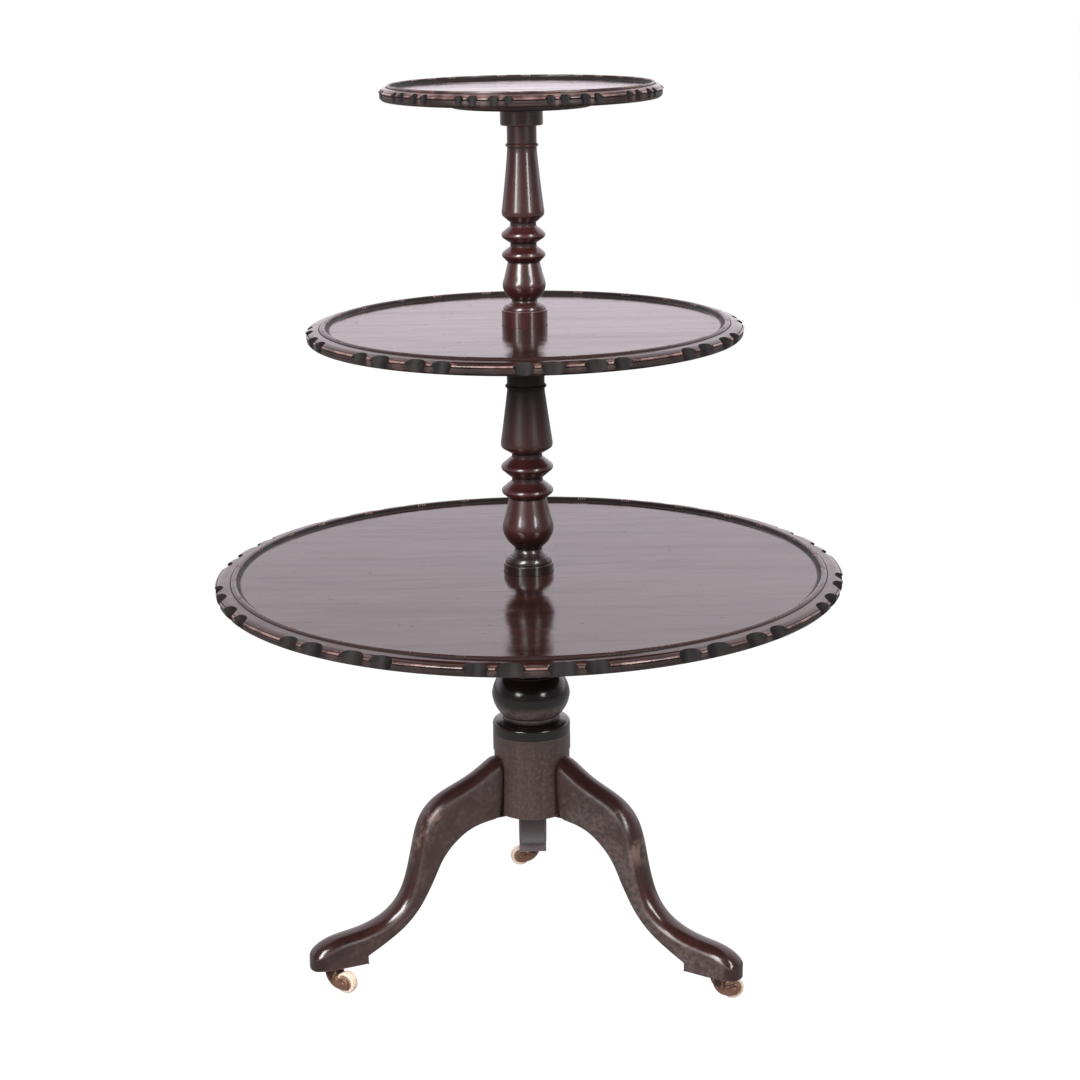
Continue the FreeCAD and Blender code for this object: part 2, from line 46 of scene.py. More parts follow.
# ---- sizes that the pieces share --------------------------------------------------------
# For each tray: height of its flat surface, radius, width of its rim, repeats of its carving
# and the angle of the first, radius of the seat round the column (none on top), radius of its
# hole, and the angles of the notches in its lip within a repeat.
TIERS = {
    "lower": dict(z=420.0, radius=321.0, rim=22.5, repeats=10, phase=1.3, seat=26.0, hole=10.1,
                  notches=(0.0, 13.0, 23.0)),
    "middle": dict(z=675.0, radius=219.0, rim=20.0, repeats=8, phase=12.3, seat=23.3, hole=10.1,
                   notches=(0.0, 16.0, 29.0)),
    "upper": dict(z=909.5, radius=139.0, rim=11.5, repeats=10, phase=21.5, seat=0.0, hole=9.1,
                  notches=(0.0, 12.5, 23.5)),
}
BOARD = 11.0                                      # thickness of a tray under its flat surface
# Hollows on each side of a lobe: place, depth and half width, as shares of half a repeat.
GOUGES = ((0.235, 0.070, 0.140), (0.550, 0.066, 0.122))
NOTCH_CUTS, NOTCH_STEP = (-1.5, -0.5, 0.5, 1.5), 2.6

LOWER_REST, MIDDLE_REST, UPPER_REST = 396.7, 653.7, 890.2    # tops that carry the bearers
SPINDLE_R, SPINDLE_LONG = 9.5, 56.0               # spindle under each column section
SOCKET_R, SOCKET_DEEP = 9.6, 34.0                 # socket that takes it
TOP_SPINDLE_R, TOP_SPINDLE_LONG = 8.5, 13.0       # spindle that the upper tray turns on
# Radius of each part of a column section, and its height as a share of the section's.
LOWER_BALUSTER = {
    "block": (25.5, 0.043), "ovolo": (21.0, 0.074), "cove": (13.9, 0.106), "vase": (26.2, 0.196),
    "waist": (19.0, 0.334), "ring_1": (26.3, 0.367), "groove_1": (15.7, 0.419),
    "ring_2": (26.5, 0.472), "groove_2": (15.4, 0.526), "shoulder": (26.4, 0.578),
    "neck": (19.0, 0.809), "collar": (24.0, 0.924)}
UPPER_BALUSTER = {
    "block": (22.8, 0.078), "ovolo": (17.9, 0.102), "cove": (12.5, 0.120), "vase": (21.5, 0.189),
    "waist": (15.9, 0.297), "ring_1": (21.7, 0.331), "groove_1": (13.1, 0.378),
    "ring_2": (21.9, 0.422), "groove_2": (12.9, 0.472), "shoulder": (21.2, 0.528),
    "neck": (14.6, 0.809), "collar": (21.0, 0.919)}

BLOCK_R = 39.6                                    # pedestal block
BLOCK_LOW, BLOCK_COLLAR, BLOCK_TOP = 160.0, 227.5, 247.0
TENON_R, TENON_DEEP, GLUE = 15.0, 42.0, 0.1       # pedestal turning's tenon in the block

# Sections of a leg from the block to the toe: its back, its underside (radius, height), and
# half its width.
SECTIONS = (
    ((34.0, 231.0), (34.0, 159.9), 15.5), ((52.2, 218.3), (54.3, 159.6), 15.5),
    ((69.1, 207.4), (73.3, 156.3), 15.5), ((90.1, 199.4), (86.9, 149.4), 15.5),
    ((109.6, 191.4), (98.5, 139.8), 15.5), ((125.4, 177.0), (107.8, 129.3), 15.5),
    ((133.4, 157.6), (113.7, 119.4), 15.5), ((138.6, 133.7), (119.6, 106.9), 15.5),
    ((144.8, 109.8), (126.5, 94.5), 15.5), ((153.0, 88.5), (136.8, 77.3), 15.5),
    ((169.0, 72.2), (153.2, 60.0), 15.5), ((192.1, 63.2), (175.3, 46.5), 15.5),
    ((212.0, 60.6), (195.5, 36.2), 15.5), ((232.0, 58.5), (216.0, 36.2), 15.5),
    ((248.0, 51.5), (238.0, 36.2), 14.8), ((253.5, 42.5), (255.0, 36.2), 11.0))
CROWN, RIDGE_HALF = 8.5, 9.0                      # drop of the leg's rounded back, and its ridge
SOLE, PAD_TOP, HEEL_R = 27.6, 36.2, 195.0
KNEE_R = 130.0                                    # the arrises are crisper before the knee
LEG_ANGLES = {"left": -65.0, "right": 55.0, "rear": 180.5}
# How dry the flat sides are (on the right leg the larger share also stands for painted light on its side),
# and how strong the painted reflection of the floor is inside the foot: left, right, rear.
LEG_WEAR_AND_LIGHT = ((0.45, 0.0), (0.95, 0.0), (0.5, 0.6))

# Side of a castor's horn, pivot at 0 and axle at TRAIL: down the back, round the axle and up
# the inside.
HORN_LINE = (
    (-6.6, 26.2), (-7.0, 22.0), (-5.6, 15.8), (-1.6, 10.2), (4.2, 6.4), (10.6, 5.2),
    (15.8, 5.3), (20.0, 7.8), (21.2, 11.8), (19.6, 15.8), (15.8, 17.7), (12.0, 16.6),
    (9.0, 15.6), (6.6, 17.2), (5.4, 21.0), (5.4, 26.2))
TRAIL, WHEEL_R, STANCE_R = 15.0, 11.5, 228.0
CHEEK_IN, HORN_T = 5.0, 3.0                       # inner face and thickness of a horn's cheek
HEADINGS = {"left": 57.0, "right": 98.0, "rear": -76.0}

HEXAGON_TALL = 17.32                              # across the flats, for a radius of 10
STRAIGHT_STEP, CURVE_STEP, CURVE_TURN = 0.7, 3.6, math.radians(11)
BEND_REACH = 0.0015                               # metres over which a full bend is counted


def mm(*values):
    scaled = tuple(value * 0.001 for value in values)
    return scaled if len(scaled) > 1 else scaled[0]


def polar(radius, degrees, z=0.0):
    angle = math.radians(degrees)
    return mm(radius * math.sin(angle), -radius * math.cos(angle), z)


# ---- modelling by hand ------------------------------------------------------------------
def only(obj):
    bpy.ops.object.select_all(action="DESELECT")
    obj.select_set(True)
    bpy.context.view_layer.objects.active = obj


def begin(add, **sizes):
    """A primitive of its own, alone selected, with its points open for work."""
    bpy.ops.object.select_all(action="DESELECT")
    add(**sizes)
    edit(mode="EDIT")
    ops.select_mode(type="VERT")
    ops.select_all(action="SELECT")
    return bpy.context.object


def apply_place(obj):
    """Put the piece's place, turn and size into its mesh."""
    only(obj)
    bpy.ops.object.transform_apply(location=True, rotation=True, scale=True)
    return obj


def settle(obj, name):
    """Finish the work on the points."""
    edit(mode="OBJECT")
    obj.name = obj.data.name = name
    return apply_place(obj)


def coat(obj, material):
    obj.data.materials.clear()
    obj.data.materials.append(material)


def push(x=0.0, y=0.0, z=0.0):
    return {"TRANSFORM_OT_translate": {"value": mm(x, y, z)}}


def pick(test, kind="VERT"):
    """Select the open piece's points, edges or faces that pass a test on their places in mm."""
    obj = bpy.context.object
    ops.select_mode(type=kind)
    ops.select_all(action="DESELECT")
    edit(mode="OBJECT")
    mesh = obj.data
    items = {"VERT": mesh.vertices, "EDGE": mesh.edges, "FACE": mesh.polygons}[kind]
    place = {v.index: obj.matrix_world @ v.co * 1000 for v in mesh.vertices}
    found = 0
    for item in items:
        points = [place[item.index]] if kind == "VERT" else [place[i] for i in item.vertices]
        if test(*points) if kind == "EDGE" else all(test(point) for point in points):
            item.select = True
            found += 1
    edit(mode="EDIT")
    return found


def with_modifier(obj, kind, **settings):
    """Add a modifier, set it and apply it."""
    only(obj)
    modifier = obj.modifiers.new(kind.lower(), kind)
    for name, value in settings.items():
        setattr(modifier, name, value)
    bpy.ops.object.modifier_apply(modifier=modifier.name)
    return obj


def without(obj, cutter, **settings):
    """Cut a shape out of a piece."""
    with_modifier(obj, "BOOLEAN", object=cutter, operation="DIFFERENCE", solver="EXACT", **settings)
    bpy.data.objects.remove(cutter)
    return obj


def smooth(obj, degrees=30.0):
    only(obj)
    bpy.ops.object.shade_smooth_by_angle(angle=math.radians(degrees))
    return obj


def duplicate(obj, name):
    copy = obj.copy()
    copy.data = obj.data.copy()
    copy.name = copy.data.name = name
    scene.collection.objects.link(copy)
    return copy


def turned_to(obj, degrees):
    """Turn a piece about the column's axis, into its mesh."""
    obj.rotation_euler = (0, 0, math.radians(degrees))
    return apply_place(obj)


def joined(pieces, name):
    only(pieces[0])
    for piece in pieces:
        piece.select_set(True)
    bpy.ops.object.join()
    pieces[0].name = pieces[0].data.name = name
    return pieces[0]


def curve(start, end, bow):
    """Points after start along a bow, out to the right of the way from start to end (mm)."""
    (r0, z0), (r1, z1) = start, end
    chord = math.hypot(r1 - r0, z1 - z0)
    if abs(bow) < 1e-6:
        if chord <= 3.0:
            return [end]
        near = STRAIGHT_STEP / chord
        return [(r0 + (r1 - r0) * at, z0 + (z1 - z0) * at)
                for at in (near, 2 * near, 1 - 2 * near, 1 - near, 1)]
    radius = (chord * chord / 4 + bow * bow) / (2 * bow)
    half = math.asin(max(-1.0, min(1.0, chord / 2 / radius)))
    if abs(bow) > chord / 2:
        half = math.copysign(math.pi, half) - half
    ahead = ((r1 - r0) / chord, (z1 - z0) / chord)
    steps = max(3, math.ceil(abs(2 * half) / CURVE_TURN), math.ceil(chord / CURVE_STEP))
    points = []
    for i in range(1, steps + 1):
        turn = half * (2 * i / steps - 1)
        along = radius * math.sin(turn) + chord / 2
        out = radius * (math.cos(turn) - math.cos(half))
        points.append((r0 + ahead[0] * along + ahead[1] * out, z0 + ahead[1] * along - ahead[0] * out))
    return points


def outline(start, *parts):
    """Points of a turned outline; a part is (radius, height) or (radius, height, bow)."""
    points = [start]
    for part in parts:
        points += curve(points[-1], part[:2], part[2] if len(part) > 2 else 0.0)
    return points


def flowing(points, steps=5):
    """One smooth line through the points."""
    padded = [points[0]] + list(points) + [points[-1]]
    line = [points[0]]
    for a, b, c, d in zip(padded, padded[1:], padded[2:], padded[3:]):
        for i in range(1, steps + 1):
            t = i / steps
            line.append(tuple(0.5 * (2 * q + (r - p) * t + (2 * p - 5 * q + 4 * r - s) * t * t
                                     + (3 * q - p - 3 * r + s) * t ** 3)
                              for p, q, r, s in zip(a, b, c, d)))
    return line


def draw(points, y=0.0):
    """Draw a line point by point, each one pulled out of the last."""
    at = points[0]
    obj = begin(ops.primitive_plane_add, size=0.001, location=mm(at[0], y, at[1]))
    ops.merge(type="CENTER")
    for point in points[1:]:
        if math.hypot(point[0] - at[0], point[1] - at[1]) > 1e-4:
            ops.extrude_region_move(**push(x=point[0] - at[0], z=point[1] - at[1]))
            at = point
    ops.select_all(action="SELECT")
    return obj


def turning(name, points, sides=96):
    """Draw half the outline, then spin it round the column's axis."""
    obj = draw(points)
    ops.spin(steps=sides, angle=math.tau, center=(0, 0, 0), axis=(0, 0, 1))
    ops.select_all(action="SELECT")
    ops.remove_doubles(threshold=2e-6)
    ops.normals_make_consistent(inside=False)
    return settle(obj, name)


def mark_bends(obj):
    """Note how sharply the surface bends out (+) or in (-) at each point, for the finishes."""
    mesh = obj.data
    place, normal = np.empty(len(mesh.vertices) * 3), np.empty(len(mesh.vertices) * 3)
    ends = np.empty(len(mesh.edges) * 2, dtype=np.int64)
    mesh.vertices.foreach_get("co", place)
    mesh.vertices.foreach_get("normal", normal)
    mesh.edges.foreach_get("vertices", ends)
    place, normal, ends = place.reshape(-1, 3), normal.reshape(-1, 3), ends.reshape(-1, 2)
    along = place[ends[:, 1]] - place[ends[:, 0]]
    length = np.maximum((along * along).sum(1), 4e-8)
    out, into = np.zeros(len(place)), np.zeros(len(place))
    for side, sign in ((0, -1.0), (1, 1.0)):
        bend = sign * (normal[ends[:, side]] * along).sum(1) / length * 2 * BEND_REACH
        np.maximum.at(out, ends[:, side], bend)
        np.minimum.at(into, ends[:, side], bend)
    bend = np.clip(np.where(out > -into, out, into), -1.0, 1.0).astype(np.float32)
    mesh.attributes.new("bend", "FLOAT", "POINT").data.foreach_set("value", bend)


# ---- trays ------------------------------------------------------------------------------
def slimness(rim):
    """How much narrower a lip is than a full one, which has a rim of 20 mm or more."""
    return min(1.0, rim / 20.0)


def tray(tier, finish, z, radius, rim, repeats, phase, seat, hole, notches):
    """Turned board with its lip and ledge, gouged round its edge and notched in its lip."""
    low, dish, slim = z - BOARD, radius - rim, slimness(rim)
    lip = 6.0 * slim
    edge = outline((hole, low), (radius - 6.0, low), (radius - 2.0, z - 9.6, 0.7),
                   (radius - 0.9, z - 6.6, 0.4), (radius - 0.9, z - 4.2), (radius - 2.0, z - 3.7),
                   (radius - 0.5, z - 3.2), (radius - 0.1, z - 2.4, 0.1),
                   (radius - 1.6, z - 1.2, 0.3), (radius - 8.0 * slim, z + 1.3, 0.5),
                   (dish + lip + 1.2, z + 1.8, -0.1), (dish + lip, z + 2.4, -0.15),
                   (dish + 0.6, z + 3.3, 1.2), (dish - 5.0 * slim, z, -1.0))
    middle, sunk = (seat, z - 0.6) if seat else (0.0, z - 4.0)
    edge += outline(edge[-1], (middle, z), (middle, sunk), (hole, sunk), (hole, low))[1:]
    board = turning(tier + "_tray_board", edge, sides=240)
    coat(board, finish)

    # Each repeat has four hollows, two on each side of a narrow lobe.
    half, repeat = math.pi * radius / repeats, 360.0 / repeats
    cutters = []
    for across, deep, wide in GOUGES:
        across, deep, wide = across * half, deep * half, wide * half
        gouge_r = (wide * wide + deep * deep) / (2 * deep)
        foot = Vector((0, -(radius + gouge_r - deep * 0.45), z - 9.0))
        top = Vector((0, -(radius + gouge_r - deep), z - 0.5))
        lean = math.atan2(top.y - foot.y, top.z - foot.z)
        gouge = begin(ops.primitive_cylinder_add, vertices=48, radius=mm(gouge_r),
                      depth=mm(60.0), location=mm(*((foot + top) / 2)), rotation=(-lean, 0, 0))
        coat(settle(gouge, "gouge"), carved_wood)
        turn = math.degrees(across / radius)
        cutters += [turned_to(duplicate(gouge, "gouge"), phase + number * repeat + side)
                    for number in range(repeats) for side in (-turn, turn)]
        bpy.data.objects.remove(gouge)

    nick = begin(ops.primitive_cylinder_add, vertices=6, radius=mm(0.85), depth=mm(lip + 1.2),
                 location=mm(0, -(dish + lip / 2 + 0.2), z + 4.0),
                 rotation=(math.pi / 2 - 0.35, 0, 0))
    coat(settle(nick, "nick"), worn_wood)
    step = math.degrees(NOTCH_STEP / dish)
    cutters += [turned_to(duplicate(nick, "nick"), phase + number * repeat + notch + cut * step)
                for number in range(repeats) for notch in notches for cut in NOTCH_CUTS]
    bpy.data.objects.remove(nick)
    return smooth(without(board, joined(cutters, "carving"), material_mode="TRANSFER"), 28)


# ---- column -----------------------------------------------------------------------------
def ring(radius, z, groove_r, groove_z):
    """A ring with sloping flanks and a rounded nose, up to the short neck above it."""
    return [(radius - 2.0, z - 3.4, 0.15), (radius - 0.3, z - 1.2, 0.3),
            (radius - 0.3, z + 1.2, 0.3), (radius - 2.0, z + 3.4, 0.3),
            (groove_r + 0.5, groove_z - 2.2, 0.15), (groove_r, groove_z - 1.6, -0.1),
            (groove_r, groove_z + 1.2), (groove_r + 0.5, groove_z + 2.0, -0.1)]


def bead(radius, z, rise=3.4):
    """A small half round on a neck of a given radius."""
    return [(radius, z), (radius + 1.5, z + 1.0, 0.3), (radius + 1.5, z + rise - 1.0, 0.4),
            (radius, z + rise, 0.3)]


def baluster(base, top, sizes, hollow):
    """Foot, cove, vase, two rings, tapered barrel, bead and collar of a column section."""
    at = {name: (radius, base + share * (top - base)) for name, (radius, share) in sizes.items()}
    (block_r, block_z), (ovolo_r, ovolo_z), (cove_r, cove_z) = at["block"], at["ovolo"], at["cove"]
    (vase_r, vase_z), (waist_r, waist_z) = at["vase"], at["waist"]
    (full_r, full_z), (neck_r, neck_z) = at["shoulder"], at["neck"]
    collar_r, collar_z = at["collar"]
    points = outline((block_r - 0.6, base), (block_r, base + 0.6, 0.2), (block_r, block_z - 0.8),
                     (block_r - 0.8, block_z, 0.25), (block_r - 1.8, block_z),
                     (ovolo_r, ovolo_z, 0.9), (ovolo_r - 2.0, ovolo_z))
    points += flowing([points[-1], (cove_r, cove_z),
                       ((cove_r + vase_r) / 2 + 1.5, (cove_z + vase_z) / 2 - 1.5),
                       (vase_r, vase_z), ((vase_r + waist_r) / 2, (vase_z + waist_z) / 2),
                       (waist_r, waist_z)])[1:]
    points += outline(points[-1], *ring(*at["ring_1"], *at["groove_1"]),
                      *ring(*at["ring_2"], *at["groove_2"]),
                      (full_r - 2.0, full_z - 5.0, 0.15), (full_r - 0.2, full_z - 2.0, 0.5),
                      (full_r - 0.1, full_z + 1.0, 0.15), (neck_r, neck_z, hollow),
                      *bead(neck_r, neck_z + 2.9), (neck_r, collar_z),
                      (collar_r - 1.0, collar_z), (collar_r, collar_z + 1.0, 0.2),
                      (collar_r, top))[1:]
    return points


def column_section(name, base, top, sizes, hollow, top_r, top_z):
    """A baluster on its spindle, with a socket in its top or a spindle out of it."""
    foot = base - SPINDLE_LONG
    points = [(0, foot), (SPINDLE_R, foot), (SPINDLE_R, base)] + baluster(base, top, sizes, hollow)
    points += [(top_r, top), (top_r, top_z), (0, top_z)]
    return smooth(turning(name, points, sides=112), 32)


def pedestal_ball():
    """Ball turning on the block, with a waisted neck that reaches up to the lowest tray."""
    foot = BLOCK_TOP + GLUE
    tenon, socket, edge_r = foot - TENON_DEEP, LOWER_REST - SOCKET_DEEP, BLOCK_R + 0.9
    ball, fillet = foot + 41.0, foot + 64.0
    rise = LOWER_REST - ball
    bead_z, collar = ball + rise * 0.82, ball + rise * 0.90
    points = outline((0, tenon), (TENON_R, tenon), (TENON_R, foot), (BLOCK_R + 0.5, foot),
                     (edge_r, foot + 0.5, 0.15), (edge_r, foot + 8.0), (36.8, foot + 12.5, 1.2),
                     (29.8, foot + 14.0), (29.8, foot + 19.0), (31.0, foot + 19.6, 0.2),
                     (40.8, ball, 2.1), (30.0, fillet, 2.3), (26.5, fillet),
                     (22.5, ball + rise * 0.40, -0.8), (26.5, ball + rise * 0.78, -0.8),
                     (26.5, bead_z), *bead(27.5, bead_z, 5.0), (32.0, collar),
                     (33.0, collar + 1.0, 0.2), (33.0, LOWER_REST), (SOCKET_R, LOWER_REST),
                     (SOCKET_R, socket), (0, socket))
    return smooth(turning("pedestal_ball_turning", points, sides=120), 32)


def pedestal_drum():
    """Plain drum that the legs are housed in, with a slight collar and the tenon's socket."""
    edge_r, socket_r = BLOCK_R + 0.9, TENON_R + GLUE
    socket = BLOCK_TOP - TENON_DEEP - 1.0
    points = outline((0, BLOCK_LOW), (BLOCK_R - 2.5, BLOCK_LOW), (BLOCK_R, BLOCK_LOW + 2.5, 0.75),
                     (BLOCK_R, BLOCK_COLLAR), (BLOCK_R + 0.6, BLOCK_COLLAR),
                     (edge_r, BLOCK_COLLAR + 0.4, 0.1), (edge_r, BLOCK_TOP - 0.5),
                     (BLOCK_R + 0.4, BLOCK_TOP, 0.15), (socket_r, BLOCK_TOP),
                     (socket_r, socket), (0, socket))
    return smooth(turning("pedestal_drum", points, sides=120), 32)


# ---- legs -------------------------------------------------------------------------------
def flat_place(point):
    return Vector((point.x, 0, point.z))


def leg():
    """One leg along +X: a section drawn inside the block and carried from station to station."""
    resize, move = bpy.ops.transform.resize, bpy.ops.transform.translate
    (back_r, back_z), (under_r, under_z), half = SECTIONS[0]
    middle, tall = Vector((back_r, 0, (back_z + under_z) / 2)), back_z - under_z
    obj = begin(ops.primitive_circle_add, vertices=6, radius=mm(10.0), fill_type="NGON",
                location=mm(*middle), rotation=(0, math.pi / 2, 0))
    resize(value=(1, 1, tall / HEXAGON_TALL), center_override=mm(*middle))
    for z, now, wanted in ((under_z, 5.0, half), (back_z, 5.0, RIDGE_HALF), (middle.z, 10.0, half)):
        pick(lambda p: abs(p.z - z) < 1)
        resize(value=(1, wanted / now, 1), center_override=mm(*middle))
    move(value=mm(0, 0, tall / 2 - CROWN))
    ops.select_mode(type="FACE")
    ops.select_all(action="SELECT")
    lean, arris, wide = 0.0, CROWN, half
    arrises, corners = [Vector((back_r, 0, back_z - CROWN))], [Vector((under_r, 0, under_z))]
    for (back_r, back_z), (under_r, under_z), half in SECTIONS[1:]:
        goal = Vector(((back_r + under_r) / 2, 0, (back_z + under_z) / 2))
        new_tall = math.hypot(back_r - under_r, back_z - under_z)
        new_lean = math.atan2(back_r - under_r, back_z - under_z)
        grown = new_tall / tall
        ahead = Vector((math.cos(new_lean), 0, -math.sin(new_lean)))
        down = Vector((-math.sin(new_lean), 0, -math.cos(new_lean)))
        back = Vector((back_r, 0, back_z))
        ops.extrude_region_move(**push(*(goal - middle)))
        bpy.ops.transform.rotate(value=lean - new_lean, orient_axis="Y", center_override=mm(*goal))
        resize(value=(grown, half / wide, grown), center_override=mm(*goal))
        arris *= grown
        crown = min(CROWN, new_tall * 0.45)
        side = back + down * arris
        pick(lambda p: abs(abs(p.y) - half) < 0.3 and (flat_place(p) - side).length < 0.3)
        move(value=mm(*(down * (crown - arris))))
        pick(lambda p: (flat_place(p) - goal).dot(ahead) > -0.05, "FACE")
        middle, tall, lean, arris, wide = goal, new_tall, new_lean, crown, half
        arrises.append(back + down * crown)
        corners.append(Vector((under_r, 0, under_z)))

    def crease(value, test):
        """Keep the edges that pass a test crisp when the leg is rounded off."""
        if pick(test, "EDGE"):
            bpy.ops.transform.edge_crease(value=value)

    def on(line, *ends):
        return all(abs(end.y) > 8.5 and any((flat_place(end) - spot).length < 0.3 for spot in line)
                   for end in ends)

    pick(lambda p: p.x > HEEL_R - 2 and abs(p.z - PAD_TOP) < 0.2, "FACE")
    ops.extrude_region_move(**push(z=SOLE - PAD_TOP))
    crease(0.8, lambda a, b: on(corners, a, b) and a.y * b.y > 0 and min(a.x, b.x) < HEEL_R - 2)
    crease(0.85, lambda a, b: max(abs(a.z - SOLE), abs(b.z - SOLE)) < 0.1
           and not (abs(a.x - b.x) < 0.1 and 200 < a.x < 240))
    crease(0.85, lambda a, b: abs(a.x - b.x) < 0.1 and abs(a.x - HEEL_R) < 2.0)
    crease(0.8, lambda a, b: on(arrises, a, b) and max(a.x, b.x) < KNEE_R)
    crease(0.55, lambda a, b: on(arrises, a, b) and max(a.x, b.x) >= KNEE_R)
    settle(obj, "leg")
    with_modifier(obj, "SUBSURF", levels=3, render_levels=3)
    block = begin(ops.primitive_cylinder_add, vertices=120, radius=mm(BLOCK_R + 0.05),
                  depth=mm(120.0), location=mm(0, 0, 200.0))
    return smooth(without(obj, settle(block, "block")), 40)


# ---- castors ----------------------------------------------------------------------------
def castor_horns():
    """Two comma-shaped cheeks that draw in above the wheel to a round hub."""
    cheek = draw(flowing(HORN_LINE, 3), CHEEK_IN)
    ops.edge_face_add()
    ops.extrude_region_move(**push(y=HORN_T))
    for low, inward in ((20.0, -1.0), (22.5, -1.2), (24.5, -1.2)):
        pick(lambda p: p.z > low)
        bpy.ops.transform.translate(value=mm(0, inward, 0))
    ops.select_all(action="SELECT")
    ops.normals_make_consistent(inside=False)
    settle(cheek, "cheek")
    with_modifier(cheek, "BEVEL", width=mm(0.8), segments=3, limit_method="ANGLE",
                  angle_limit=math.radians(50))
    outside = CHEEK_IN + HORN_T
    button = begin(ops.primitive_cylinder_add, vertices=28, radius=mm(2.9), depth=mm(1.6),
                   location=mm(TRAIL, outside, WHEEL_R), rotation=(math.pi / 2, 0, 0))
    pick(lambda p: p.y > outside + 0.7, "FACE")
    ops.inset(thickness=mm(0.9))
    bpy.ops.transform.translate(value=mm(0, 0.35, 0))
    settle(button, "button")
    with_modifier(button, "BEVEL", width=mm(0.25), segments=2, limit_method="ANGLE",
                  angle_limit=math.radians(30))
    near = joined([cheek, button], "near_cheek")
    far = duplicate(near, "far_cheek")
    far.scale = (1, -1, 1)
    apply_place(far)
    edit(mode="EDIT")
    ops.select_all(action="SELECT")
    ops.normals_make_consistent(inside=False)
    edit(mode="OBJECT")
    hub = turning("hub", outline((2.25, 20.8), (4.4, 20.8), (4.4, 22.6), (6.4, 24.2, -0.5),
                                 (7.0, 25.3, 0.25), (6.6, 26.2, 0.2), (2.25, 26.2), (2.25, 20.8)),
                  sides=40)
    return smooth(joined([near, far, hub], "horns"), 35)


def castor_wheel():
    """Glazed wheel with a groove round its hub on each side and a barrelled tread."""
    side = ((1.6, 4.3), (3.6, 4.3), (4.1, 3.6), (5.0, 3.2), (7.2, 3.2), (8.0, 3.7), (8.5, 4.2))
    points = [(r, -y) for r, y in side] + [(9.5, -4.35, 0.15), (11.0, -2.9, 0.45), (11.3, 0, 0.1)]
    points += [(11.0, 2.9, 0.1), (9.5, 4.35, 0.45), (8.5, 4.2, 0.15)]
    points += [(r, y) for r, y in reversed(side[:-1])] + [(1.6, -4.3)]
    wheel = turning("wheel", outline(points[0], *points[1:]), sides=64)
    wheel.rotation_euler, wheel.location = (math.pi / 2, 0, 0), mm(TRAIL, 0, WHEEL_R)
    return smooth(apply_place(wheel), 40)


def at_foot(obj, side, name):
    """A castor's piece under the foot of a leg, trailing its own way."""
    piece = duplicate(obj, name)
    piece.rotation_euler = (0, 0, math.radians(HEADINGS[side] - 90.0))
    piece.location = polar(STANCE_R, LEG_ANGLES[side])
    return apply_place(piece)


# ---- finishes ---------------------------------------------------------------------------
class Tone:
    """A socket of a finish.  Sums on it are written as on numbers."""

    def __init__(self, finish, socket):
        self.finish, self.socket = finish, socket

    def __add__(self, other):
        return self.finish.math("ADD", self, other)

    def __radd__(self, other):
        return self.finish.math("ADD", other, self)

    def __sub__(self, other):
        return self.finish.math("SUBTRACT", self, other)

    def __rsub__(self, other):
        return self.finish.math("SUBTRACT", other, self)

    def __mul__(self, other):
        return self.finish.math("MULTIPLY", self, other)

    def __rmul__(self, other):
        return self.finish.math("MULTIPLY", other, self)

    def __pow__(self, other):
        return self.finish.math("POWER", self, other)


